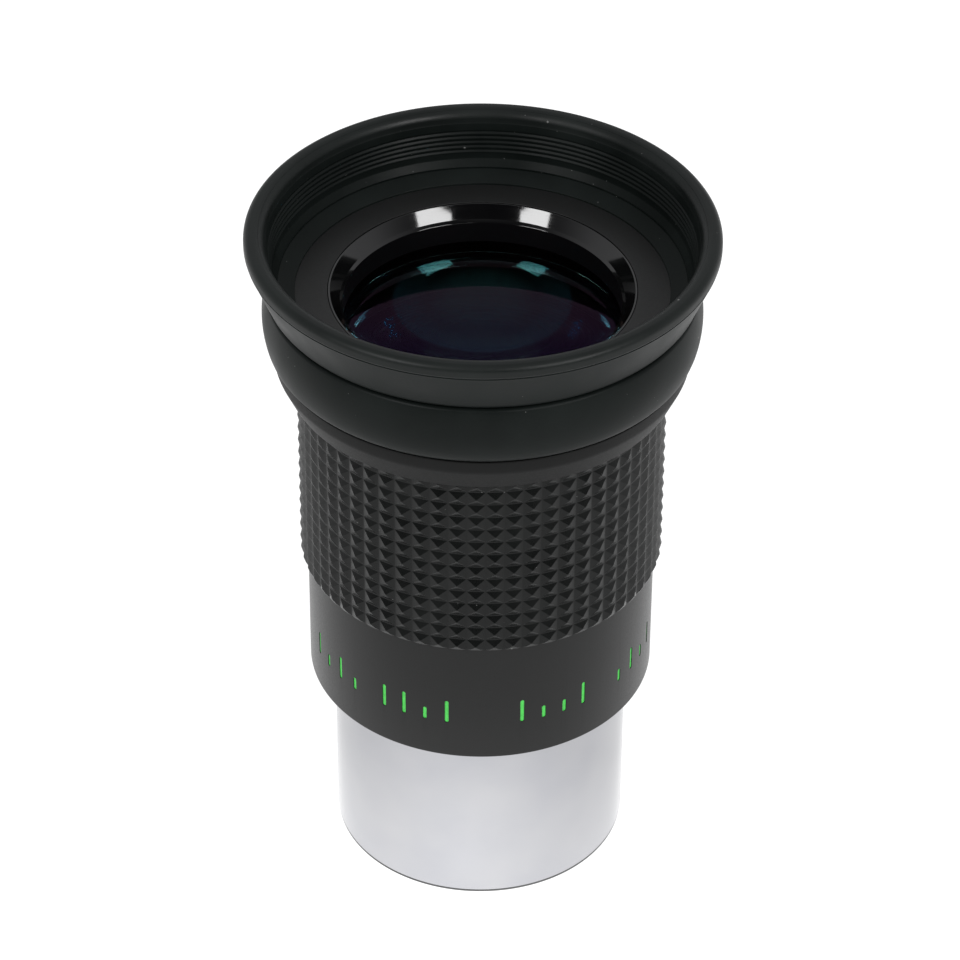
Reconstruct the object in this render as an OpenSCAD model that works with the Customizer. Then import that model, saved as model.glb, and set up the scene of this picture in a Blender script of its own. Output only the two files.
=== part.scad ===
// Telescope eyepiece with a push-fit barrel, a four-element lens stack and a rubber eyecup that folds
// down. The origin is the centre of the barrel's open end and +Z is the optical axis, towards the eye.

/* [Barrel] */
// Outside diameter of the barrel, the 1.25 inch push-fit standard
barrel_d = 31.75; // [31.6:0.01:31.75]
// Length of barrel that shows below the housing
barrel_len = 21.85; // [20:0.05:28]
// Diameter of the light path through the barrel, at the bottom of its glare grooves
barrel_bore_d = 29.2; // [29:0.1:29.4]
// Crest diameter of the filter thread inside the open end
filter_crest_d = 27.86; // [27.7:0.01:27.95]
// Length of the filter thread
filter_len = 4.8; // [3:0.6:6]
// Diameter of the barrel's neck, which screws into the housing
neck_d = 29.8; // [29.5:0.05:30]
// Length of the barrel's neck
neck_len = 8; // [6:0.5:9]

/* [Housing] */
// Diameter of the smooth engraved band
band_d = 37.1; // [36.5:0.1:37.5]
// Height of the smooth engraved band
band_h = 15.2; // [12:0.1:16]
// Diameter of the recess under the grip sleeve
grip_core_d = 35.2; // [34.6:0.1:35.6]
// Height of the grip recess
grip_h = 22.15; // [21:0.05:24]
// Diameter at the foot of the flared shoulder
shoulder_low_d = 40.8; // [40:0.1:41]
// Diameter at the top of the flared shoulder
shoulder_top_d = 43.4; // [43:0.1:43.6]
// Height of the flared shoulder
shoulder_h = 4.1; // [3.8:0.1:4.4]
// Height of the eyecup's seat, from the shoulder to the top face
seat_h = 6.2; // [6:0.1:6.4]

/* [Grip] */
// Diameter over the points of the grip sleeve
grip_d = 38.8; // [38:0.1:39.4]

/* [Lenses] */
// Diameter of all four lens elements
lens_d = 30; // [29.8:0.1:30]
// Radius of curvature of the outer faces
outer_curve = 150; // [120:5:300]
// Radius of curvature of the cemented faces
cement_curve = 30; // [29:0.5:34]
// Radius of curvature of the faces between the doublets
inner_curve = 36; // [35:0.5:40]
// Centre thickness of each flint element
flint_t = 1.8; // [1.6:0.1:2.2]
// Centre thickness of each crown element
crown_t = 8.5; // [8.3:0.1:8.8]
// Gap between the two doublets at the axis
doublet_gap = 0.6; // [0.4:0.1:1]

/* [Eyecup] */
// Greatest diameter of the eyecup's bulging base
bulge_d = 45.5; // [45.2:0.1:45.6]
// Diameter over the rim's bead
rim_d = 48.8; // [48.6:0.1:49.2]
// Height of the whole eyepiece
total_h = 76.8; // [76.6:0.1:77.2]

/* [Engraving] */
// Height of the tall engraved strokes
stroke_h = 2.9; // [2.5:0.1:5]
// Width of the engraved strokes
stroke_w = 0.42; // [0.35:0.01:0.6]

/* [Hidden] */

$fn = 96;
lens_fn = 360;          // finer, because the lens curves are large spheres
over = 1;               // how far a cutter runs past the face it cuts

// Heights of the main faces
z_band = barrel_len;
z_grip = z_band + band_h;
z_shoulder = z_grip + grip_h;
z_parting = z_shoulder + shoulder_h;
z_plate = z_parting + seat_h;
z_neck = z_plate + 0.95;            // where the eyecup's thin wall leaves its base
z_bead = total_h - 1.5;             // the crease between the eyecup's wall and its bead

// Barrel
thread_pitch = 0.6;
thread_depth = 0.3;
baffle_pitch = 0.8;
baffle_depth = 0.3;
fit_gap = 0.05;         // radial clearance where one piece screws or drops into another
barrel_edge = 0.3;      // chamfer of the barrel's open end
spigot_r = 15.6;        // the barrel's shoulder sits in a shallow recess of the housing
spigot_h = 0.4;
recess_r = 15.9;
neck_bore_r = 14.2;
stop_z = barrel_len + 2.2;
stop_t = 1;
stop_aperture_d = 27;

// Lens stack, from the eye down
lens_r = lens_d / 2;
well_depth = 4;                         // from the top face down to the edge of the eye lens
cement_gap = 0.02;
z_eye_edge = z_plate - well_depth;
outer_sag = sag(outer_curve, lens_r);
cement_sag = sag(cement_curve, lens_r);
z_eye_vertex = z_eye_edge + outer_sag;
z_eye_inner = z_eye_vertex - flint_t - crown_t;     // vertex of the face between the doublets
z_mid = z_eye_inner - doublet_gap / 2;              // the stack is mirrored about this height
seat_r = lens_r - 1.4;                              // the rings bear on the lenses at this radius
spacer_half = z_eye_inner + sag(inner_curve, seat_r) - z_mid;
z_field_seat = 2 * z_mid - z_eye_vertex + sag(outer_curve, seat_r);

// Retaining ring of the eye lens
retainer_r = 15.9;
retainer_land_r = 15.7;
retainer_cone_r = 14.7;
retainer_bore_r = 14.4;
retainer_cone_h = 1.3;
z_retainer = z_eye_vertex - sag(outer_curve, retainer_bore_r);

// Eyecup
flange_r = 20.4;        // the housing's top flange, which the eyecup hooks over
waist_r = 18.9;         // the housing's waist below that flange
waist_h = 3.3;
lip_r = 19.3;           // inner edge of the rubber on the housing's top face
bulge_curve = 9.5;      // radius of the bulge's side
bulge_z = z_parting + 3.7;
bulge_low_fillet = 1.4;
bulge_top_fillet = 0.45;
neck_r_in = 21;
neck_r_out = 21.5;
ridge_count = 5;
ridge_pitch = 0.53;
ridge_depth = 0.16;
z_ridges = z_neck + 1.5;
rim_split_r = 23.05;    // the moving bead starts here, clear of the bulge

// Engraved strokes: [angle of the group's centre from the front, tall (1) and short (0) strokes]
groups = [[-57, [1, 0, 1, 0]], [-22, [1, 1, 0, 1]], [25, [1, 0, 0, 1]], [64, [0, 1, 0, 1]]];
stroke_step = 7.4;      // degrees between strokes
short_h = 0.55;         // height of a short stroke, as a share of a tall one
stroke_z = z_band + 6.05;
pocket_depth = 0.3;
fill_sink = 0.08;       // the paint lies this far below the surface

function sag(curve, r) = curve - sqrt(curve * curve - r * r);

function arc(centre, r, from, to, steps = 8) =
    [for (i = [0:steps]) let (a = from + (to - from) * i / steps) centre + r * [cos(a), sin(a)]];

// Square-bottomed rings cut in a bore: the outline of the wall between two heights
function ring_grooves(crest_r, depth, pitch, low, count) =
    [for (i = [0:count - 1]) let (z = low + i * pitch)
        each [[crest_r, z], [crest_r, z + pitch * 0.4], [crest_r + depth, z + pitch * 0.6],
            [crest_r + depth, z + pitch * 0.8]]];

module revolve(points) {
    rotate_extrude() polygon(points);
}

module tube(outer_r, inner_r, low, high) {
    revolve([[inner_r, low], [outer_r, low], [outer_r, high], [inner_r, high]]);
}

module barrel() {
    r = barrel_d / 2;
    bore_r = barrel_bore_d / 2;
    crest_r = filter_crest_d / 2;
    thread_z = 0.6;
    thread_top = thread_z + filter_len;
    top = barrel_len + neck_len;
    grooves = floor((stop_z - thread_top - 1) / baffle_pitch);
    color("gainsboro") revolve(concat(
        [[crest_r + thread_depth, 0]],
        ring_grooves(crest_r, thread_depth, thread_pitch, thread_z, round(filter_len / thread_pitch)),
        ring_grooves(bore_r - baffle_depth, baffle_depth, baffle_pitch, thread_top, grooves),
        [[neck_bore_r, stop_z - 0.4], [neck_bore_r, top], [neck_d / 2 - 0.2, top],
            [neck_d / 2, top - 0.2], [neck_d / 2, barrel_len + spigot_h],
            [spigot_r, barrel_len + spigot_h], [spigot_r, barrel_len], [r, barrel_len],
            [r, barrel_edge], [r - barrel_edge, 0]]));
}

module field_stop() {
    r = neck_bore_r;
    edge_r = stop_aperture_d / 2;
    color("dimgray") revolve([[r, stop_z], [r, stop_z + stop_t], [edge_r + 0.2, stop_z + stop_t],
        [edge_r, stop_z + 0.25], [edge_r, stop_z]]);
}

module housing_shell() {
    band_r = band_d / 2;
    core_r = grip_core_d / 2;
    socket_r = neck_d / 2 + fit_gap;
    baffle_r = seat_r - 0.35;
    z_socket = barrel_len + neck_len + 0.2;
    grooves = floor((z_field_seat - z_socket - 1) / baffle_pitch);
    revolve(concat(
        [[socket_r, z_band + spigot_h], [recess_r, z_band + spigot_h], [recess_r, z_band],
            [band_r - 0.2, z_band], [band_r, z_band + 0.2],
            [band_r, z_grip - 0.15], [band_r - 0.15, z_grip], [core_r, z_grip],
            [core_r, z_shoulder], [shoulder_low_d / 2, z_shoulder],
            [shoulder_top_d / 2 - 0.05, z_shoulder + shoulder_h * 0.65],
            [shoulder_top_d / 2, z_parting - 0.1], [shoulder_top_d / 2 - 0.1, z_parting],
            [waist_r, z_parting], [waist_r, z_parting + waist_h],
            [flange_r, z_parting + waist_h], [flange_r, z_plate],
            [retainer_r + fit_gap, z_plate], [retainer_r + fit_gap, z_retainer - 0.15],
            [lens_r + fit_gap, z_retainer - 0.15], [lens_r + fit_gap, z_field_seat],
            [seat_r, z_field_seat]],
        [for (i = [grooves - 1:-1:0]) let (z = z_socket + 0.5 + i * baffle_pitch)
            each [[seat_r, z + baffle_pitch * 0.8], [seat_r, z + baffle_pitch * 0.6],
                [baffle_r, z + baffle_pitch * 0.4], [baffle_r, z]]],
        [[baffle_r, z_socket], [socket_r, z_socket]]));
}

// One upright stroke with round ends, reaching outwards from the axis on the +X side
module stroke(height) {
    translate([0, 0, stroke_z + (stroke_w - stroke_h) / 2]) rotate([90, 0, 90])
        linear_extrude(band_d) {
            circle(d = stroke_w, $fn = 32);
            translate([-stroke_w / 2, 0]) square([stroke_w, height - stroke_w]);
            translate([0, height - stroke_w]) circle(d = stroke_w, $fn = 32);
        }
}

module strokes() {
    for (group = groups, i = [0:len(group[1]) - 1]) {
        angle = group[0] + (i - (len(group[1]) - 1) / 2) * stroke_step;
        rotate([0, 0, angle - 90]) stroke(group[1][i] == 1 ? stroke_h : stroke_h * short_h);
    }
}

module stroke_band(outer_r) {
    intersection() {
        tube(outer_r, band_d / 2 - pocket_depth, z_band + 1, z_grip - 1);
        strokes();
    }
}

module housing() {
    color("#37393a") difference() {
        housing_shell();
        stroke_band(band_d / 2 + over);
    }
}

module engraving_fill() {
    color("#4be04f") stroke_band(band_d / 2 - fill_sink);
}

module grip_sleeve() {
    r = grip_d / 2;
    core_r = grip_core_d / 2;
    edge = 0.5;
    color("#222323") revolve([[core_r, z_grip], [r - edge, z_grip], [r, z_grip + edge],
        [r, z_shoulder - edge], [r - edge, z_shoulder], [core_r, z_shoulder]]);
}

// The flint and crown of the eye doublet; the field doublet is their mirror image
module flint() {
    cement_z = z_eye_vertex - flint_t;
    difference() {
        intersection() {
            translate([0, 0, z_eye_vertex - outer_curve]) sphere(outer_curve, $fn = lens_fn);
            translate([0, 0, cement_z - cement_sag]) cylinder(r = lens_r, h = cement_sag + lens_r);
        }
        translate([0, 0, cement_z - cement_curve]) sphere(cement_curve + cement_gap, $fn = lens_fn);
    }
}

module crown() {
    cement_z = z_eye_vertex - flint_t;
    intersection() {
        translate([0, 0, cement_z - cement_curve]) sphere(cement_curve, $fn = lens_fn);
        translate([0, 0, z_eye_inner + inner_curve]) sphere(inner_curve, $fn = lens_fn);
        translate([0, 0, z_eye_inner]) cylinder(r = lens_r, h = lens_r);
    }
}

module mirrored_stack() {
    translate([0, 0, 2 * z_mid]) mirror([0, 0, 1]) children();
}

module field_lens_flint() {
    color("#6f5f9c") mirrored_stack() flint();
}

module field_lens_crown() {
    color("#8fb3c8") mirrored_stack() crown();
}

module eye_lens_crown() {
    color("#8fb3c8") crown();
}

module eye_lens_flint() {
    color("#6f5f9c") flint();
}

module lens_spacer() {
    color("#2b2c2e") tube(lens_r, seat_r, z_mid - spacer_half, z_mid + spacer_half);
}

module eye_lens_retainer() {
    color("#1a1a1c") revolve([[retainer_bore_r, z_retainer], [retainer_r, z_retainer],
        [retainer_r, z_plate], [retainer_land_r, z_plate],
        [retainer_cone_r, z_plate - retainer_cone_h],
        [retainer_bore_r, z_plate - retainer_cone_h - 0.3]]);
}

module eyecup_base() {
    side = [bulge_d / 2 - bulge_curve, bulge_z];
    low_z = z_parting + bulge_low_fillet;
    low_reach = bulge_curve - bulge_low_fillet;
    low_angle = asin((low_z - bulge_z) / low_reach);
    low_centre = side + low_reach * [cos(low_angle), sin(low_angle)];
    top_z = z_neck - 0.3;
    top_reach = bulge_curve - bulge_top_fillet;
    top_angle = asin((top_z - bulge_top_fillet - bulge_z) / top_reach);
    top_centre = side + top_reach * [cos(top_angle), sin(top_angle)];
    color("#2a2b2b") revolve(concat(
        [[waist_r, z_parting]],
        arc(low_centre, bulge_low_fillet, -90, low_angle),
        arc(side, bulge_curve, low_angle, top_angle),
        arc(top_centre, bulge_top_fillet, top_angle, 90),
        [[neck_r_out, top_z], [neck_r_out, z_neck], [neck_r_in, z_neck],
            [neck_r_in - 0.8, z_plate + 0.6], [lip_r, z_plate + 0.2], [lip_r, z_plate],
            [flange_r, z_plate], [flange_r, z_parting + waist_h], [waist_r, z_parting + waist_h]]));
}

lip_centre = [23.4, total_h - 1.2];
lip_round = 1.2;
lip_split_angle = acos((rim_split_r - lip_centre[0]) / lip_round);

module eyecup_skirt() {
    ridge_top = z_ridges + ridge_count * ridge_pitch;
    wall_low_r = neck_r_in + 0.6;
    wall_slope = 0.11;      // how far the ridged wall leans outwards for each mm of height
    color("#2a2b2b") revolve(concat(
        [[neck_r_in, z_neck], [22.2, z_neck], [22.4, z_neck + 0.2], [rim_d / 2 - 0.1, z_bead],
            [rim_split_r, z_bead]],
        arc(lip_centre, lip_round, lip_split_angle, 180),
        [[22.12, z_bead + 0.1], [wall_low_r + wall_slope * (ridge_top - z_ridges), ridge_top]],
        [for (i = [ridge_count - 1:-1:0]) let (z = z_ridges + i * ridge_pitch,
                r = wall_low_r + wall_slope * (z - z_ridges))
            each [[r + ridge_depth, z + ridge_pitch * 0.75], [r, z + ridge_pitch * 0.4],
                [r + 0.02, z]]],
        [[wall_low_r, z_ridges - 0.6]]));
}

module eyecup_rim() {
    bead_round = 0.7;
    color("#2a2b2b") revolve(concat(
        [[rim_split_r, z_bead], [rim_d / 2 - 0.1, z_bead], [rim_d / 2, z_bead + 0.5]],
        arc([rim_d / 2 - bead_round, total_h - bead_round], bead_round, 0, 90),
        arc(lip_centre, lip_round, 90, lip_split_angle, 3)));
}

barrel();
field_stop();
housing();
engraving_fill();
grip_sleeve();
field_lens_flint();
field_lens_crown();
lens_spacer();
eye_lens_crown();
eye_lens_flint();
eye_lens_retainer();
eyecup_base();
eyecup_skirt();
eyecup_rim();
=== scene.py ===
"""The looks of the telescope eyepiece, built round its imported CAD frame.

Outlines are in millimetres, as (radius, height, fillet) points, and are turned about the optical axis.
Heights and radii come from the CAD nodes' boxes, so that each piece fits the frame.
"""

import math

import bmesh
import bpy
import numpy as np
from mathutils import Matrix, Vector


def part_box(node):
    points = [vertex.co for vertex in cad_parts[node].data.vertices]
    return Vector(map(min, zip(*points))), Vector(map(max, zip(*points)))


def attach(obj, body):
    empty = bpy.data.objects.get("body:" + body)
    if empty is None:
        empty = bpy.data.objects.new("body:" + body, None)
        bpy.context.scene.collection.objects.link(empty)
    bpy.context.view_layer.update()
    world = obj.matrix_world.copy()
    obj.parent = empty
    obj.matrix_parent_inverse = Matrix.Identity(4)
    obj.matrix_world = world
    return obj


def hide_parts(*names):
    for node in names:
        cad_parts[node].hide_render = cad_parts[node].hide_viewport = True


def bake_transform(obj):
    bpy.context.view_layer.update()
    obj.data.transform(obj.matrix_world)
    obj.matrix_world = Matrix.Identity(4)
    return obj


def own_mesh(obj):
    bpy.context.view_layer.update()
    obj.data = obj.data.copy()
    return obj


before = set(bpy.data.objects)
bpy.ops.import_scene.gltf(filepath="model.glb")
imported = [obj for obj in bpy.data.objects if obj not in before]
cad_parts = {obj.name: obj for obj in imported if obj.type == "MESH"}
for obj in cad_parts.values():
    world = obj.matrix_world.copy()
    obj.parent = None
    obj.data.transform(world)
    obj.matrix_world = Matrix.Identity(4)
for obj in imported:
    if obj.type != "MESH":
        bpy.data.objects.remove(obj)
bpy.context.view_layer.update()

MM = 0.001
SEGMENTS = 256
SHARP_ANGLE = math.radians(38)


# ---------------------------------------------------------------- sizes, from the frame

def foot_of(node):
    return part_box(node)[0].z / MM


def top_of(node):
    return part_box(node)[1].z / MM


def radius_of(node):
    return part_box(node)[1].x / MM


Z_BAND = foot_of("housing")
Z_GRIP = foot_of("grip_sleeve")
Z_SHOULDER = top_of("grip_sleeve")
Z_PARTING = foot_of("eyecup_base")
Z_PLATE = top_of("housing")
Z_NECK = foot_of("eyecup_skirt")
Z_BEAD = foot_of("eyecup_rim")
Z_TOP = top_of("eyecup_rim")
Z_STOP = foot_of("field_stop")
Z_RETAINER = foot_of("eye_lens_retainer")
Z_EYE_LENS = top_of("eye_lens_flint")
Z_EYE_INNER = foot_of("eye_lens_crown")
Z_FIELD_INNER = top_of("field_lens_crown")
Z_FIELD_LENS = foot_of("field_lens_flint")
BARREL_R = radius_of("barrel")
GRIP_R = radius_of("grip_sleeve")
SHOULDER_R = radius_of("housing")
BULGE_R = radius_of("eyecup_base")
RIM_R = radius_of("eyecup_rim")
LENS_R = radius_of("eye_lens_flint")
RETAINER_R = radius_of("eye_lens_retainer")
BAND_R = 18.55
GRIP_CORE_R = 17.6
LENS_SEAT_R = LENS_R - 1.4
OUTER_CURVE = 150.0
INNER_CURVE = 36.0
EYE_INNER_CURVE = 31.0


# ---------------------------------------------------------------- mesh helpers

def rounded(outline, step=math.radians(11)):
    """The closed outline's points, with each (radius, height, fillet) corner turned into an arc."""
    corners = [(Vector(p[:2]), p[2] if len(p) > 2 else 0.0) for p in outline]
    points = []
    for i, (here, fillet) in enumerate(corners):
        before = corners[i - 1][0] - here
        after = corners[(i + 1) % len(corners)][0] - here
        if fillet <= 0 or before.length < 1e-9 or after.length < 1e-9:
            points.append(here)
            continue
        half = before.angle(after) / 2
        reach = min(fillet / math.tan(half), 0.49 * before.length, 0.49 * after.length)
        fillet = reach * math.tan(half)
        middle = (before.normalized() + after.normalized()).normalized()
        centre = here + middle * (fillet / math.sin(half))
        start = here + before.normalized() * reach - centre
        end = here + after.normalized() * reach - centre
        sweep = start.angle_signed(end)
        count = max(2, math.ceil(abs(sweep) / step))
        for k in range(count + 1):
            turned = start.copy()
            turned.rotate(Matrix.Rotation(-sweep * k / count, 2))
            points.append(centre + turned)
    return [(p.x, p.y) for p in points]


def arc(centre, radius, first, last, count=12):
    """Points along an arc, with its angles in degrees from the outward direction."""
    angles = [math.radians(first + (last - first) * i / count) for i in range(count + 1)]
    return [(centre[0] + radius * math.cos(a), centre[1] + radius * math.sin(a)) for a in angles]


def mesh_object(name, points, faces):
    """A smooth-shaded mesh object, in metres, from points in millimetres."""
    mesh = bpy.data.meshes.new(name)
    mesh.from_pydata([tuple(c * MM for c in p) for p in points], [], faces)
    work = bmesh.new()
    work.from_mesh(mesh)
    bmesh.ops.remove_doubles(work, verts=work.verts, dist=1e-7)
    bmesh.ops.recalc_face_normals(work, faces=work.faces)
    work.to_mesh(mesh)
    work.free()
    mesh.shade_smooth()
    mesh.set_sharp_from_angle(angle=SHARP_ANGLE)
    obj = bpy.data.objects.new(name, mesh)
    bpy.context.scene.collection.objects.link(obj)
    return obj


def turn(name, outline, segments=SEGMENTS, wave=None):
    """The closed outline turned about the axis. wave(angle, radius, height) may move a point."""
    loop = rounded(outline)
    points = []
    for j in range(segments):
        angle = 2 * math.pi * j / segments
        for r, z in loop:
            if wave:
                r, z = wave(angle, r, z)
            points.append((r * math.cos(angle), r * math.sin(angle), z))
    n = len(loop)
    faces = [
        (j * n + i, j * n + (i + 1) % n, (j + 1) % segments * n + (i + 1) % n, (j + 1) % segments * n + i)
        for j in range(segments)
        for i in range(n)
    ]
    return mesh_object(name, points, faces)


def dress(obj, body, slot, material, *nodes):
    """Gives a piece its material, its body and the nodes it stands for. The slot argument is not used."""
    obj.data.materials.clear()
    obj.data.materials.append(material)
    if body:
        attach(obj, body)
    if nodes:
        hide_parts(*nodes)
    return obj


def finish_faces(piece, choose, *finishes):
    """Adds finishes after a piece's first material. choose(face) gives each face's slot number."""
    for finish in finishes:
        piece.data.materials.append(finish)
    for face in piece.data.polygons:
        face.material_index = int(choose(face))


# ---------------------------------------------------------------- materials

class NodeTree:
    """Short calls for the nodes that the materials and the surroundings share."""

    def __init__(self, owner):
        owner.use_nodes = True
        self.nodes = owner.node_tree.nodes
        self.links = owner.node_tree.links

    def feed(self, socket, value):
        """Links a socket to another one, or sets it to a constant."""
        if isinstance(value, bpy.types.NodeSocket):
            self.links.new(value, socket)
        else:
            socket.default_value = value

    def node(self, kind, **inputs):
        made = self.nodes.new("ShaderNode" + kind)
        for name, value in inputs.items():
            self.feed(made.inputs[name.replace("_", " ")], value)
        return made

    def sums(self, kind, first, second):
        made = self.node("Math")
        made.operation = kind
        self.feed(made.inputs[0], first)
        self.feed(made.inputs[1], second)
        return made.outputs[0]

    def measure(self, kind, vector, other=(0, 0, 0)):
        """A number from vectors: a DOT_PRODUCT, a DISTANCE, or the LENGTH of the first."""
        made = self.node("VectorMath", Vector=vector)
        made.operation = kind
        made.inputs[1].default_value = other
        return made.outputs["Value"]

    def ramp(self, value, low, high, out_low=0.0, out_high=1.0, smooth=False):
        """value remapped from [low, high] to [out_low, out_high], and held there."""
        made = self.node("MapRange", Value=value, From_Min=low, From_Max=high, To_Min=out_low,
                         To_Max=out_high)
        made.interpolation_type = "SMOOTHSTEP" if smooth else "LINEAR"
        made.clamp = True
        return made.outputs["Result"]

    def blend(self, share, first, second):
        """A colour mixed from two, which are sockets or (red, green, blue) constants."""
        made = self.node("Mix")
        made.data_type = "RGBA"
        self.feed(made.inputs["Factor"], share)
        for socket, value in ((made.inputs[6], first), (made.inputs[7], second)):
            self.feed(socket, (*value, 1) if isinstance(value, tuple) else value)
        return made.outputs[2]


class Shader(NodeTree):
    """A new material and what feeds its surface."""

    def __init__(self, name, **sockets):
        self.material = bpy.data.materials.new(name)
        super().__init__(self.material)
        self.surface = self.nodes["Principled BSDF"]
        for socket, value in sockets.items():
            self.surface.inputs[socket.replace("_", " ")].default_value = value
        self.place = self.node("TexCoord").outputs["Object"]

    def stretched(self, scale):
        """The object's coordinates in metres, scaled along each axis."""
        return self.node("Mapping", Vector=self.place, Scale=scale).outputs["Vector"]

    def noise(self, scale, detail=2.0, roughness=0.5, place=None):
        made = self.node("TexNoise", Vector=place or self.place, Scale=scale, Detail=detail,
                         Roughness=roughness)
        return made.outputs["Fac"]

    def colour(self, value):
        self.links.new(value, self.surface.inputs["Base Color"])

    def roughness(self, value):
        self.links.new(value, self.surface.inputs["Roughness"])

    def bump(self, height, strength, distance):
        """Fine relief: distance is the depth in millimetres of a height of 1."""
        made = self.node("Bump", Height=height, Strength=strength, Distance=distance * MM)
        self.links.new(made.outputs["Normal"], self.surface.inputs["Normal"])

    def lathe_lines(self, per_mm):
        """Fine rings round the axis: noise that changes with height and hardly round the piece."""
        return self.noise(1.0, 3.0, 0.6, self.stretched((40, 40, per_mm * 1000)))


def dust(shader, scale, share):
    """Sparse pale specks, in a share of the cells: 1 on a speck and 0 elsewhere."""
    cells = shader.node("TexVoronoi", Vector=shader.place, Scale=scale)
    picked = shader.node("TexWhiteNoise", Vector=cells.outputs["Position"]).outputs["Value"]
    near = shader.ramp(cells.outputs["Distance"], 0.05, 0.13, 1.0, 0.0)
    chosen = shader.ramp(picked, 1 - share, 1 - share + 0.001)
    return shader.sums("MULTIPLY", near, chosen)


def chrome():
    s = Shader("chrome_plate", Base_Color=(0.42, 0.42, 0.44, 1), Metallic=1.0, Roughness=0.14)
    smears = s.noise(120, 4)
    lines = s.lathe_lines(9)
    s.roughness(s.sums("ADD", s.ramp(smears, 0.35, 0.7, 0.10, 0.17), s.ramp(lines, 0.3, 0.8, 0.0, 0.05)))
    s.colour(s.blend(s.ramp(smears, 0.3, 0.75), (0.40, 0.403, 0.425), (0.44, 0.44, 0.455)))
    s.bump(lines, 0.08, 0.01)
    return s.material


def anodised(name, base, rough, shine, lines_strength=0.12):
    s = Shader(name, Roughness=rough, Specular_IOR_Level=shine)
    grain = s.noise(5200, 2)
    clouds = s.noise(90, 3)
    lines = s.lathe_lines(7)
    s.colour(s.blend(s.ramp(clouds, 0.35, 0.7), base, tuple(c * 1.18 for c in base)))
    s.roughness(s.ramp(grain, 0.25, 0.75, rough - 0.05, rough + 0.06))
    s.bump(s.sums("ADD", s.sums("MULTIPLY", grain, 0.5), lines), lines_strength, 0.012)
    return s.material


def rubber(name, base, rough, shine, specks):
    s = Shader(name, Roughness=rough, Specular_IOR_Level=shine)
    grain = s.noise(3600, 4, 0.6)
    bloom = s.noise(160, 4)
    spots = s.sums("MAXIMUM", dust(s, 900, specks), dust(s, 2300, specks * 0.8))
    tone = s.blend(s.ramp(bloom, 0.35, 0.72), base, tuple(c * 1.45 + 0.001 for c in base))
    s.colour(s.blend(s.sums("MULTIPLY", spots, 0.4), tone, (0.42, 0.42, 0.41)))
    s.roughness(s.ramp(bloom, 0.3, 0.75, rough - 0.05, rough + 0.09))
    s.bump(grain, 0.16, 0.035)
    return s.material


def enamel():
    s = Shader("green_enamel", Roughness=0.42, IOR=1.5)
    mottle = s.noise(1500, 4)
    s.colour(s.blend(s.ramp(mottle, 0.3, 0.7), (0.040, 0.50, 0.055), (0.065, 0.66, 0.080)))
    s.bump(mottle, 0.3, 0.03)
    return s.material


def gloss_black():
    s = Shader("gloss_black_ring", Base_Color=(0.002, 0.002, 0.002, 1), Roughness=0.08, IOR=1.6)
    lines = s.lathe_lines(6)
    s.colour(s.blend(s.ramp(s.noise(200, 3), 0.3, 0.7), (0.0015, 0.0015, 0.0017), (0.003, 0.003, 0.0032)))
    s.roughness(s.ramp(lines, 0.3, 0.75, 0.05, 0.10))
    s.bump(lines, 0.04, 0.01)
    return s.material


def spacer_metal():
    s = Shader("turned_spacer", Metallic=1.0, Roughness=0.2)
    lines = s.lathe_lines(8)
    s.colour(s.blend(s.ramp(s.noise(150, 3), 0.3, 0.7), (0.045, 0.045, 0.047), (0.07, 0.07, 0.072)))
    s.roughness(s.ramp(lines, 0.3, 0.75, 0.16, 0.28))
    s.bump(lines, 0.08, 0.01)
    return s.material


def coated_glass(name, tint, film, film_ior):
    s = Shader(name, Base_Color=tint, Roughness=0.0, IOR=1.6, Transmission_Weight=1.0,
               Thin_Film_Thickness=film, Thin_Film_IOR=film_ior)
    haze = s.noise(500, 3)
    s.roughness(s.ramp(haze, 0.55, 0.85, 0.0, 0.02))
    return s.material


CHROME = chrome()
BLACK_ANODISED = anodised("black_anodised", (0.0045, 0.0047, 0.0046), 0.32, 0.26)
# Painted shade: the shoulder gets a darker, duller copy of the same black anodising.
SHADED_SHOULDER_BLACK = anodised("shoulder_black_painted_shade", (0.0035, 0.0037, 0.0036), 0.5, 0.13, 0.3)
PLATE_BLACK = anodised("plate_black", (0.006, 0.0063, 0.0062), 0.45, 0.40, 0.2)
LIGHT_TRAP = anodised("light_trap_black", (0.0022, 0.0021, 0.0025), 0.5, 0.10, 0.2)
GRIP_RUBBER = rubber("grip_rubber", (0.0030, 0.0035, 0.0033), 0.26, 0.18, 0.02)
EYECUP_RUBBER = rubber("eyecup_rubber", (0.0046, 0.0063, 0.0058), 0.42, 0.092, 0.03)
BEAD_RUBBER = rubber("handled_bead_rubber", (0.0046, 0.0063, 0.0058), 0.42, 0.20, 0.03)
GREEN_ENAMEL = enamel()
GLOSS_BLACK = gloss_black()
SPACER_METAL = spacer_metal()
# Painted shade: the front glass's dark teal tint darkens the view into the eyepiece and tints its inner
# reflections teal.
FRONT_GLASS = coated_glass("eye_lens_front", (0.08, 0.17, 0.165, 1), 136, 1.27)
INNER_GLASS = coated_glass("eye_lens_inner", (0.85, 0.85, 0.88, 1), 285, 1.38)
FIELD_GLASS = coated_glass("field_lens_glass", (0.62, 0.58, 0.70, 1), 110, 1.38)


# ---------------------------------------------------------------- barrel

BARREL_EDGE = 0.35          # chamfer of the barrel's open end
THREAD_PITCH = 0.6
THREAD_FOOT = 0.5
THREAD_TURNS = 8
THREAD_CREST_R = 13.93
THREAD_DEPTH = 0.30
NECK_R = 14.9
NECK_BORE_R = 14.2
SPIGOT_R = 15.6
SPIGOT_H = 0.4
GLARE_PITCH = 0.8
GLARE_R = 14.3
GLARE_DEPTH = 0.3
STOP_R = 13.5
STOP_H = 1.0


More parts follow.
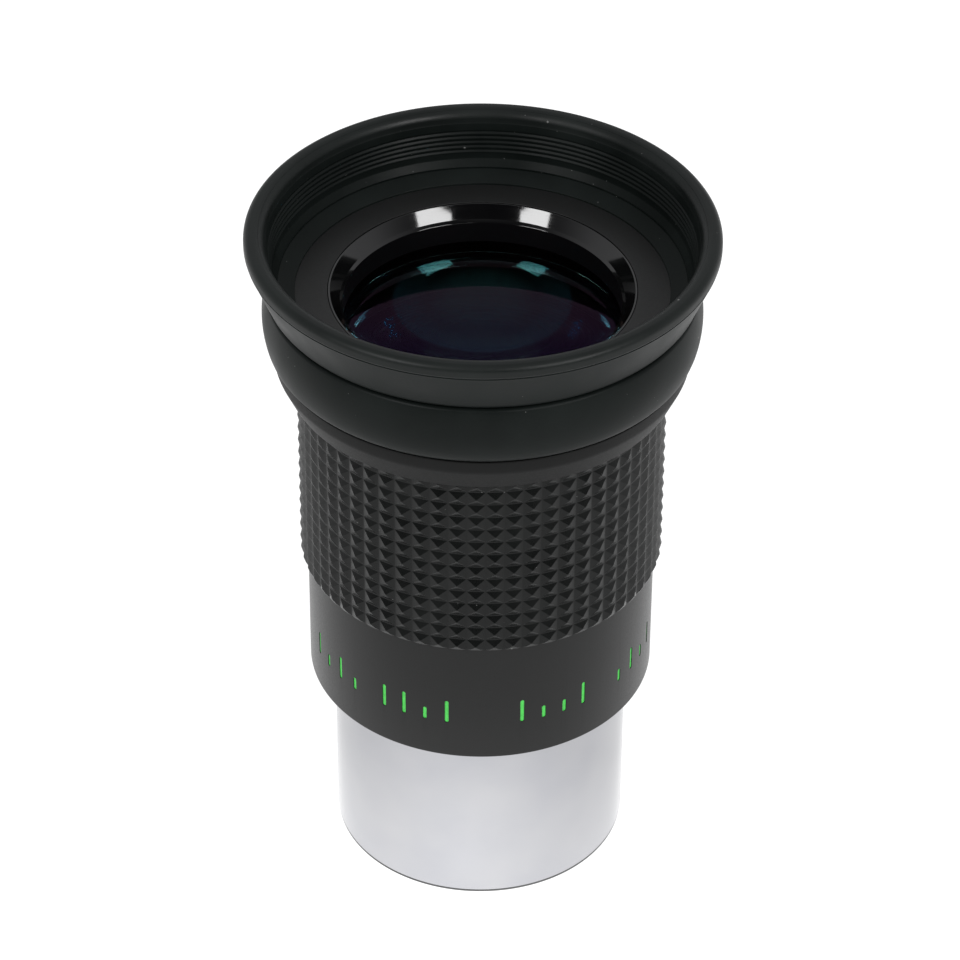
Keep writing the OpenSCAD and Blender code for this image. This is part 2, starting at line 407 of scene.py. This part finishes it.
def thread_wave(angle, r, z):
    """Makes the filter thread's wall a true helix: its crests climb one pitch in a turn."""
    top = THREAD_FOOT + THREAD_PITCH * THREAD_TURNS
    on_wall = THREAD_CREST_R - 0.01 < r < THREAD_CREST_R + 0.01 and THREAD_FOOT < z < top
    if not on_wall:
        return r, z
    phase = (z / THREAD_PITCH - angle / (2 * math.pi)) % 1
    groove = min(max(abs(phase - 0.5) * 4 - 0.5, 0), 1)
    ends = min((z - THREAD_FOOT) / THREAD_PITCH, (top - z) / THREAD_PITCH, 1)
    return r + THREAD_DEPTH * (1 - groove) * ends, z


def glare_grooves(low, high, crest_r, depth, pitch):
    """V grooves down a bore, from high to low, that stop light from glancing off its wall."""
    count = int((high - low) / pitch)
    return [
        p
        for i in range(count)
        for p in ((crest_r, high - i * pitch), (crest_r, high - i * pitch - pitch * 0.25),
                  (crest_r + depth, high - i * pitch - pitch * 0.6))
    ]


def barrel():
    top = top_of("barrel")
    thread_top = THREAD_FOOT + THREAD_PITCH * THREAD_TURNS
    samples = 12 * THREAD_TURNS
    thread = [(THREAD_CREST_R, thread_top + (THREAD_FOOT - thread_top) * i / samples)
              for i in range(samples + 1)]
    outline = [
        (BARREL_R - BARREL_EDGE, 0, 0.10), (BARREL_R, BARREL_EDGE, 0.35), (BARREL_R, Z_BAND, 0.05),
        (SPIGOT_R, Z_BAND), (SPIGOT_R, Z_BAND + SPIGOT_H), (NECK_R, Z_BAND + SPIGOT_H),
        (NECK_R, top - 0.2, 0.1), (NECK_R - 0.2, top), (NECK_BORE_R, top, 0.1),
        (NECK_BORE_R, Z_STOP - 0.3),
    ]
    outline += glare_grooves(thread_top + 0.5, Z_STOP - 0.5, GLARE_R, GLARE_DEPTH, GLARE_PITCH)
    outline += thread
    outline += [(THREAD_CREST_R + 0.02, BARREL_EDGE), (THREAD_CREST_R + THREAD_DEPTH + 0.05, 0, 0.05)]
    body = turn("barrel_shell", outline, wave=thread_wave)
    return dress(body, "body", "chrome_barrel", CHROME, "barrel")


def field_stop():
    ring = turn("field_stop_ring", [
        (NECK_BORE_R - 0.02, Z_STOP), (NECK_BORE_R - 0.02, Z_STOP + STOP_H),
        (STOP_R + 0.2, Z_STOP + STOP_H, 0.05), (STOP_R, Z_STOP + 0.25), (STOP_R, Z_STOP),
    ])
    return dress(ring, "body", "matte_black_ring", LIGHT_TRAP, "field_stop")


# ---------------------------------------------------------------- housing

SHOULDER_LOW_R = 20.4
SHOULDER_BEND = (21.62, 2.65, 1.2)  # radius, height over the shoulder's lower edge, and fillet
FLANGE_R = 20.4
WAIST_R = 18.9
WAIST_H = 3.3
RECESS_R = 15.9
SOCKET_R = NECK_R + 0.05
LENS_LEDGE = 0.35                   # how far the bore under the lens seat is narrower than it
POCKET_DEPTH = 0.30
STROKE_W = 0.42
STROKE_H = 2.9
SHORT_SHARE = 0.55
STROKE_Z = Z_BAND + 6.05
STROKE_STEP = 7.4
# Each group of strokes: its centre's angle from the front, then tall (1) and short (0) strokes
STROKE_GROUPS = [(-57, (1, 0, 1, 0)), (-22, (1, 1, 0, 1)), (25, (1, 0, 0, 1)), (64, (0, 1, 0, 1))]


def housing_shell():
    socket_top = top_of("barrel") + 0.2
    seat_z = Z_FIELD_LENS + OUTER_CURVE - math.sqrt(OUTER_CURVE**2 - LENS_SEAT_R**2)
    well_r = RETAINER_R + 0.05
    bend_r, bend_h, bend_fillet = SHOULDER_BEND
    bore_r = LENS_SEAT_R - LENS_LEDGE
    outline = [
        (RECESS_R, Z_BAND, 0.05), (BAND_R, Z_BAND, 0.18), (BAND_R, Z_GRIP, 0.15),
        (GRIP_CORE_R, Z_GRIP), (GRIP_CORE_R, Z_SHOULDER),
        (SHOULDER_LOW_R, Z_SHOULDER, 0.45), (bend_r, Z_SHOULDER + bend_h, bend_fillet),
        (SHOULDER_R, Z_PARTING, 0.12),
        (WAIST_R, Z_PARTING), (WAIST_R, Z_PARTING + WAIST_H), (FLANGE_R, Z_PARTING + WAIST_H),
        (FLANGE_R, Z_PLATE), (well_r, Z_PLATE, 0.04), (well_r, Z_RETAINER - 0.15),
        (LENS_R + 0.05, Z_RETAINER - 0.15), (LENS_R + 0.05, seat_z), (LENS_SEAT_R, seat_z),
    ]
    outline += glare_grooves(socket_top + 0.8, seat_z - 0.4, bore_r, LENS_LEDGE, GLARE_PITCH)
    outline += [(bore_r, socket_top), (SOCKET_R, socket_top),
                (SOCKET_R, Z_BAND + SPIGOT_H), (RECESS_R, Z_BAND + SPIGOT_H)]
    return turn("housing_shell", outline)


def stroke_outline(height):
    """The upright stroke's outline with round ends, as (across, up) points."""
    r = STROKE_W / 2
    upper = arc((0, height - r), r, 0, 180, 10)
    lower = [(-x, height - y) for x, y in upper]
    return upper + lower


def stroke_cutter():
    """One mesh of all the strokes, each a thin prism that reaches from the pocket's floor outwards."""
    points, faces = [], []
    for centre, strokes in STROKE_GROUPS:
        for i, tall in enumerate(strokes):
            angle = math.radians(centre + (i - (len(strokes) - 1) / 2) * STROKE_STEP - 90)
            outline = stroke_outline(STROKE_H if tall else STROKE_H * SHORT_SHARE)
            foot = STROKE_Z - STROKE_H / 2
            first, n = len(points), len(outline)
            for reach in (BAND_R - POCKET_DEPTH, BAND_R + 1):
                for across, up in outline:
                    points.append((reach * math.cos(angle) - across * math.sin(angle),
                                   reach * math.sin(angle) + across * math.cos(angle), foot + up))
            faces.append(tuple(first + k for k in range(n)))
            faces.append(tuple(first + n + k for k in reversed(range(n))))
            faces += [(first + k, first + n + k, first + n + (k + 1) % n, first + (k + 1) % n)
                      for k in range(n)]
    return mesh_object("stroke_cutter", points, faces)


def apply_modifiers(obj):
    """Makes the object's evaluated mesh its own."""
    graph = bpy.context.evaluated_depsgraph_get()
    final = bpy.data.meshes.new_from_object(obj.evaluated_get(graph), depsgraph=graph)
    obj.modifiers.clear()
    obj.data = final


def housing_finish(face):
    """A housing face's slot: 0 below the shoulder, 1 the shoulder with its painted shade, 2 the top face, 3
    the inside.
    """
    if face.center.z > (Z_PLATE - 0.05) * MM:
        return 2
    if Vector(face.center[:2]).length < (RETAINER_R + 0.1) * MM:
        return 3
    return face.center.z > Z_SHOULDER * MM


def housing():
    shell = housing_shell()
    cutter = stroke_cutter()
    shell.data.materials.append(BLACK_ANODISED)
    cut = shell.modifiers.new("strokes", "BOOLEAN")
    cut.operation = "DIFFERENCE"
    cut.solver = "EXACT"
    cut.object = cutter
    apply_modifiers(shell)
    bpy.data.objects.remove(cutter)
    shell.data.set_sharp_from_angle(angle=SHARP_ANGLE)
    dress(shell, "body", "black_anodised", BLACK_ANODISED, "housing")
    finish_faces(shell, housing_finish, SHADED_SHOULDER_BLACK, PLATE_BLACK, LIGHT_TRAP)
    return shell


def engraving():
    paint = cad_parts["engraving_fill"]
    paint.data.materials.clear()
    paint.data.materials.append(GREEN_ENAMEL)


# ---------------------------------------------------------------- grip sleeve

GRIP_COLUMNS = 62
GRIP_ROW_H = 1.6
GRIP_GAP = 0.3                      # height of the plain groove between the top row and the shoulder
GRIP_GAP_DEPTH = 0.9
GRIP_TURN = math.radians(-1.5)      # the front column's points lie this far left of the front
POINT_H = 0.36
BLUNT = 0.07                        # share of a pyramid's half width that its blunt top takes up
BLUNT_SLOPE = 0.3                   # slope of that top and of the groove's floor, against the sides'
# Places across half a pyramid, from its middle (0) to the groove (1)
ACROSS = (0.0, BLUNT, 0.5, 1 - BLUNT, 1.0)
FACET_ANGLE = math.radians(14)


def point_height(u, v):
    """Height of a blunt four-sided pyramid over its square foot, for u and v from -1 to 1."""
    rise = 1 - max(abs(u), abs(v))
    floor_line = BLUNT + BLUNT_SLOPE * (rise - BLUNT)
    top_line = 1 - BLUNT + BLUNT_SLOPE * (rise - 1 + BLUNT)
    return POINT_H * min(max(rise, floor_line), top_line)


def grip_sleeve():
    cell = [-x for x in reversed(ACROSS[1:])] + [x for x in ACROSS[1:]]
    columns = [(c, u) for c in range(GRIP_COLUMNS) for u in cell[:-1]]
    rows = [(Z_SHOULDER, None), (Z_SHOULDER - GRIP_GAP, None)]
    for row in range(math.ceil((Z_SHOULDER - Z_GRIP) / GRIP_ROW_H)):
        middle = Z_SHOULDER - GRIP_ROW_H * (row + 0.5)
        for v in reversed(cell[:-1] if row else cell):
            z = middle + v * GRIP_ROW_H / 2
            if Z_GRIP + 0.03 < z < Z_SHOULDER - GRIP_GAP - 0.03:
                rows.append((z, v))
    last_middle = Z_SHOULDER - GRIP_ROW_H * (row + 0.5)
    rows.append((Z_GRIP, (Z_GRIP - last_middle) / (GRIP_ROW_H / 2)))
    core = GRIP_CORE_R + 0.02
    points, faces = [], []
    n = len(rows) + 2
    for c, u in columns:
        angle = GRIP_TURN + 2 * math.pi * (c + (u + 1) / 2) / GRIP_COLUMNS
        points.append((core * math.cos(angle), core * math.sin(angle), Z_SHOULDER))
        for z, v in rows:
            r = GRIP_R - GRIP_GAP_DEPTH if v is None else GRIP_R - POINT_H + point_height(u, v)
            points.append((r * math.cos(angle), r * math.sin(angle), z))
        points.append((core * math.cos(angle), core * math.sin(angle), Z_GRIP))
    for j in range(len(columns)):
        here, there = j * n, (j + 1) % len(columns) * n
        for i in range(n):
            k = (i + 1) % n
            a, b, c, d = here + i, here + k, there + k, there + i
            on_face = 2 < i < len(rows)
            middle_u = columns[j][1] + 0.01
            if on_face and (middle_u > 0) == (rows[i - 1][1] + rows[i][1] > 0):
                faces += [(a, b, d), (b, c, d)]
            elif on_face:
                faces += [(a, b, c), (a, c, d)]
            else:
                faces.append((a, b, c, d))
    sleeve = mesh_object("grip_sleeve_rubber", points, faces)
    sleeve.data.set_sharp_from_angle(angle=FACET_ANGLE)
    return dress(sleeve, "body", "grip_rubber", GRIP_RUBBER, "grip_sleeve")


# ---------------------------------------------------------------- lenses and their rings

LENS_CHAMFER = 0.12
RETAINER_BORE_R = 14.4
RETAINER_CONE_R = 14.7
RETAINER_LAND_R = 15.7
RETAINER_CONE_H = 1.3
SPACER_BORE_R = 14.3


def dome(curve, vertex, direction, first_r, last_r, count=28):
    """Points on a lens face: its vertex height, bulging up (+1) or down (-1), between two radii."""
    radii = [first_r + (last_r - first_r) * i / count for i in range(count + 1)]
    return [(r, vertex - direction * (curve - math.sqrt(curve * curve - r * r))) for r in radii]


def doublet(name, top, top_curve, foot, foot_curve, material, *nodes):
    """A cemented pair as one body of glass, because its cement joint can't be seen."""
    upper = dome(top_curve, top, 1, 0, LENS_R - LENS_CHAMFER)
    lower = dome(foot_curve, foot, -1, LENS_R - LENS_CHAMFER, 0)
    edge = [(LENS_R - 0.01, upper[-1][1] - LENS_CHAMFER), (LENS_R - 0.01, lower[0][1] + LENS_CHAMFER)]
    outline = upper + edge + lower
    glass = turn(name, outline, segments=192)
    return dress(glass, "body", "coated_glass", material, *nodes)


def lenses():
    pair = doublet("eye_lens_pair", Z_EYE_LENS, OUTER_CURVE, Z_EYE_INNER, EYE_INNER_CURVE, FRONT_GLASS,
                   "eye_lens_flint", "eye_lens_crown")
    finish_faces(pair, lambda face: face.normal.z < -0.5, INNER_GLASS)
    doublet("field_lens_pair", Z_FIELD_INNER, INNER_CURVE, Z_FIELD_LENS, OUTER_CURVE, FIELD_GLASS,
            "field_lens_flint", "field_lens_crown")


def rings():
    low, high = foot_of("lens_spacer"), top_of("lens_spacer")
    spacer = turn("lens_spacer_ring", [
        (LENS_SEAT_R, low, 0.1), (LENS_R - 0.02, low, 0.1), (LENS_R - 0.02, high, 0.1),
        (SPACER_BORE_R, high), (LENS_SEAT_R, high - 0.4),
    ])
    dress(spacer, "body", "matte_black_ring", LIGHT_TRAP, "lens_spacer")
    finish_faces(spacer, lambda face: 0.2 < face.normal.z < 0.97, SPACER_METAL)
    ring = turn("retaining_ring", [
        (RETAINER_BORE_R, Z_RETAINER, 0.03), (RETAINER_R, Z_RETAINER), (RETAINER_R, Z_PLATE, 0.04),
        (RETAINER_LAND_R, Z_PLATE, 0.06), (RETAINER_CONE_R, Z_PLATE - RETAINER_CONE_H, 0.25),
        (RETAINER_BORE_R, Z_PLATE - RETAINER_CONE_H - 0.3, 0.1),
    ])
    dress(ring, "body", "gloss_black_ring", GLOSS_BLACK, "eye_lens_retainer")
    finish_faces(ring, lambda face: abs(face.normal.z) < 0.35, LIGHT_TRAP)


# ---------------------------------------------------------------- eyecup

BULGE_CURVE = 9.5
RIDGE_COUNT = 5
RIDGE_PITCH = 0.53
RIDGE_DEPTH = 0.17
LIP_R = 19.3
NECK_R_IN = 21.0
NECK_R_OUT = 21.5
CREASE_R = RIM_R - 0.1
SPLIT_R = 22.9              # where the lining meets the outer skin, on the crest of the rim
CREST_R = 23.4              # centre of the crest's round
CREST_ROUND = 1.2
BEAD_ROUND = 0.72
SKIRT_FOOT_R = 22.4
SKIRT_WALL = 0.42
LINING_R = 21.6             # radius of the lining at the foot of its ridges
LINING_SLOPE = 0.11         # how much wider it gets per millimetre of height


def bulge_base():
    """The eyecup's lower part, hooked over the housing's flange, with a bulging outer wall."""
    side = Vector((BULGE_R - BULGE_CURVE, Z_PARTING + 3.7))
    low_fillet, top_fillet, top_z = 1.4, 0.45, Z_NECK - 0.3
    low_angle = math.asin((Z_PARTING + low_fillet - side.y) / (BULGE_CURVE - low_fillet))
    top_angle = math.asin((top_z - top_fillet - side.y) / (BULGE_CURVE - top_fillet))
    low_centre = side + (BULGE_CURVE - low_fillet) * Vector((math.cos(low_angle), math.sin(low_angle)))
    top_centre = side + (BULGE_CURVE - top_fillet) * Vector((math.cos(top_angle), math.sin(top_angle)))
    low_deg, top_deg = math.degrees(low_angle), math.degrees(top_angle)
    outline = [(WAIST_R + 0.02, Z_PARTING + 0.02)]
    outline += arc(low_centre, low_fillet - 0.02, -90, low_deg)
    outline += arc(side, BULGE_CURVE, low_deg, top_deg, 16)[1:]
    outline += arc(top_centre, top_fillet, top_deg, 90, 10)[1:]
    outline += [
        (NECK_R_OUT, top_z, 0.06), (NECK_R_OUT, Z_NECK), (NECK_R_IN, Z_NECK, 0.12),
        (NECK_R_IN - 0.8, Z_PLATE + 0.6, 0.15), (LIP_R, Z_PLATE + 0.2, 0.06),
        (LIP_R, Z_PLATE + 0.01), (FLANGE_R + 0.01, Z_PLATE + 0.01),
        (FLANGE_R + 0.01, Z_PARTING + WAIST_H - 0.01),
        (WAIST_R + 0.02, Z_PARTING + WAIST_H - 0.01),
    ]
    base = turn("eyecup_bulge", outline)
    return dress(base, "body", "eyecup_rubber", EYECUP_RUBBER, "eyecup_base")


def polish_bead(piece):
    """Gives the faces of the rim's bead the rubber that handling has polished."""
    finish_faces(piece, lambda face: face.center.z > (Z_BEAD + 0.1) * MM, BEAD_RUBBER)


def skirt_r(z):
    """Radius of the skirt's outer face at a height."""
    low = Z_NECK + 0.25
    return SKIRT_FOOT_R + (CREASE_R - SKIRT_FOOT_R) * (z - low) / (Z_BEAD - low)


def crest_z(r):
    """Height of the rim's rounded inner shoulder at a radius inside its crest."""
    return Z_TOP - CREST_ROUND + math.sqrt(CREST_ROUND**2 - (CREST_R - r) ** 2)


def outer_skin():
    """The flared outer wall and the rim's bead, as one mesh; on the real eyecup they fold down together."""
    levels = 40
    flare = [(skirt_r(z), z) for z in np.linspace(Z_NECK + 0.35, Z_BEAD - 0.12, levels)]
    inner = [(min(skirt_r(z) - SKIRT_WALL, SPLIT_R), z)
             for z in np.linspace(Z_BEAD - 1.2, Z_NECK + 0.35, levels)]
    outline = [(NECK_R_OUT + 0.02, Z_NECK + 0.02), (22.2, Z_NECK + 0.03, 0.15)]
    outline += flare
    outline += [(CREASE_R + 0.02, Z_BEAD, 0.05), (CREASE_R - 0.03, Z_BEAD + 0.10, 0.03),
                (RIM_R, Z_BEAD + 0.28, 0.1)]
    outline += arc((RIM_R - BEAD_ROUND, Z_TOP - BEAD_ROUND), BEAD_ROUND, 0, 90)
    outline += [(r, crest_z(r)) for r in np.linspace(CREST_R, SPLIT_R, 8)]
    outline += [(SPLIT_R, Z_BEAD + 0.3), (SPLIT_R, Z_BEAD - 0.6)] + inner
    skin = turn("eyecup_skin", outline)
    dress(skin, None, "eyecup_rubber", EYECUP_RUBBER, "eyecup_skirt", "eyecup_rim")
    polish_bead(skin)
    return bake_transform(skin)


def lining():
    """The eyecup's inner wall, with its fine ridges; on the real eyecup it crumples flat as the rim folds
    down.
    """
    foot = Z_NECK + 1.5
    ridges_top = foot + RIDGE_COUNT * RIDGE_PITCH
    outline = [(SPLIT_R - 0.02, crest_z(SPLIT_R - 0.02))]
    outline += [(r, crest_z(r)) for r in np.linspace(SPLIT_R - 0.1, 22.2, 14)]
    outline += [(22.12, Z_BEAD + 0.1, 0.3),
                (LINING_R + LINING_SLOPE * (ridges_top - foot) + 0.05, ridges_top + 0.1, 0.1)]
    for i in reversed(range(RIDGE_COUNT)):
        z = foot + i * RIDGE_PITCH
        r = LINING_R + LINING_SLOPE * (z - foot)
        outline += [(r + RIDGE_DEPTH, z + RIDGE_PITCH * 0.80, 0.06), (r, z + RIDGE_PITCH * 0.42, 0.07),
                    (r + 0.03, z + 0.02, 0.05)]
    outline += [(LINING_R, foot - 0.55, 0.25), (NECK_R_IN + 0.01, Z_NECK + 0.02, 0.1),
                (NECK_R_OUT - 0.02, Z_NECK + 0.02)]
    outline += [(min(skirt_r(z) - SKIRT_WALL - 0.03, SPLIT_R - 0.03), z)
                for z in np.linspace(Z_NECK + 0.4, Z_BEAD + 0.2, 16)]
    wall = turn("eyecup_lining", outline)
    dress(wall, "body", "eyecup_rubber", EYECUP_RUBBER)
    polish_bead(wall)
    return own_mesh(wall)


# ---------------------------------------------------------------- studio and camera

FLOOR_SIZE = 8.0
FLOOR_GLOW = 0.90               # the pale floor glows by itself, except under the eyepiece
POOL_GLOW = 1.48                # and most of all in a pool in front of the eyepiece's foot
POOL_R = 0.036
POOL_CENTRE = (-0.003, -0.020, 0)
WALL_GLOW = 0.68                # share of the horizon's light that the walls above it give
CEILING_GLOW = 0.9
LAMP_REACH = 0.9                # distance of the lamps from the shoulder's middle
LAMP_RISE = 36                  # their height, in degrees
CAMERA_TILT = math.radians(37.215)      # how far the camera looks down
CAMERA_REACH = 0.44253
CAMERA_AIM = Vector((-0.00015, 0, 0.04471))
CAMERA_ROLL = math.radians(0.359)
CAMERA_LENS = 156.14


def floor():
    """A pale ground plane under the eyepiece, which dresses the set and glows by itself, with painted shade
    under the barrel and a painted pool of light in front of its foot.
    """
    mesh = bpy.data.meshes.new("floor")
    h = FLOOR_SIZE / 2
    mesh.from_pydata([(-h, -h, 0), (h, -h, 0), (h, h, 0), (-h, h, 0)], [], [(0, 1, 2, 3)])
    obj = bpy.data.objects.new("floor", mesh)
    bpy.context.scene.collection.objects.link(obj)
    s = Shader("pale_floor", Roughness=0.85, Emission_Color=(1, 1, 1, 1))
    s.colour(s.blend(s.ramp(s.noise(30, 4), 0.3, 0.7), (0.24, 0.24, 0.242), (0.27, 0.27, 0.27)))
    # Painted shade: the floor doesn't glow inside the barrel's foot.
    clear = s.ramp(s.measure("LENGTH", s.place), BARREL_R * 0.99 * MM, BARREL_R * MM)
    # Painted light: a brighter pool of glow in front of the eyepiece's foot.
    glow = s.ramp(s.measure("DISTANCE", s.place, POOL_CENTRE), 0.0, POOL_R, POOL_GLOW, FLOOR_GLOW)
    s.feed(s.surface.inputs["Emission Strength"], s.sums("MULTIPLY", clear, glow))
    obj.data.materials.append(s.material)


def softbox(name, azimuth, width, height, power):
    """A rectangular lamp that faces the eyepiece, at an azimuth measured from the front."""
    data = bpy.data.lights.new(name, "AREA")
    data.shape = "RECTANGLE"
    data.size, data.size_y, data.energy = width, height, power
    obj = bpy.data.objects.new(name, data)
    bpy.context.scene.collection.objects.link(obj)
    a, e = math.radians(azimuth), math.radians(LAMP_RISE)
    away = Vector((math.sin(a) * math.cos(e), -math.cos(a) * math.cos(e), math.sin(e)))
    target = Vector((0, 0, Z_SHOULDER * MM))
    obj.location = target + away * LAMP_REACH
    obj.rotation_euler = (-away).to_track_quat("-Z", "Y").to_euler()


def surroundings():
    """A room with a pale horizon, dimmer walls and a pale ceiling, and dark towards the front."""
    world = bpy.data.worlds.new("studio")
    bpy.context.scene.world = world
    tree = NodeTree(world)
    place = tree.node("TexCoord").outputs["Generated"]
    up, front = (0, 0, 1), (0, -1, 0)

    def rising(direction, low, high):
        """0 to 1 as a direction turns from low to high degrees off the plane across it."""
        edges = [math.sin(math.radians(angle)) for angle in (low, high)]
        return tree.ramp(tree.measure("DOT_PRODUCT", place, direction), *edges, smooth=True)

    horizon = tree.sums("SUBTRACT", 1.0, rising(up, 4, 24))
    walls = tree.sums("MULTIPLY", tree.sums("SUBTRACT", 1.0, rising(up, 45, 68)), WALL_GLOW)
    behind = tree.sums("SUBTRACT", 1.0, rising(front, -10, 40))
    ceiling = tree.sums("MULTIPLY", rising(up, 50, 75), CEILING_GLOW)
    round_it = tree.sums("MULTIPLY", tree.sums("MAXIMUM", horizon, walls), behind)
    colour = tree.blend(tree.sums("ADD", round_it, ceiling), (0.02, 0.02, 0.022), (0.85, 0.855, 0.87))
    tree.feed(tree.nodes["Background"].inputs["Color"], colour)


def camera():
    data = bpy.data.cameras.new("camera")
    data.lens, data.sensor_width = CAMERA_LENS, 36
    data.clip_start, data.clip_end = 0.01, 50
    obj = bpy.data.objects.new("camera", data)
    bpy.context.scene.collection.objects.link(obj)
    forward = Vector((0, math.cos(CAMERA_TILT), -math.sin(CAMERA_TILT)))
    level = Vector((1, 0, 0))
    upright = level.cross(forward)
    right = level * math.cos(CAMERA_ROLL) + upright * math.sin(CAMERA_ROLL)
    up = upright * math.cos(CAMERA_ROLL) - level * math.sin(CAMERA_ROLL)
    turned = Matrix((right, up, -forward)).transposed().to_4x4()
    obj.matrix_world = Matrix.Translation(CAMERA_AIM - forward * CAMERA_REACH) @ turned
    bpy.context.scene.camera = obj


barrel()
field_stop()
housing()
engraving()
grip_sleeve()
lenses()
rings()
bulge_base()
outer_skin()
lining()

floor()
surroundings()
softbox("left_softbox", -44, 0.28, 0.30, 3.6)
softbox("right_softbox", 42, 0.34, 0.30, 4.2)
softbox("front_strip", 19, 0.26, 0.06, 0.25)
camera()
bpy.context.scene.view_settings.view_transform = "Standard"
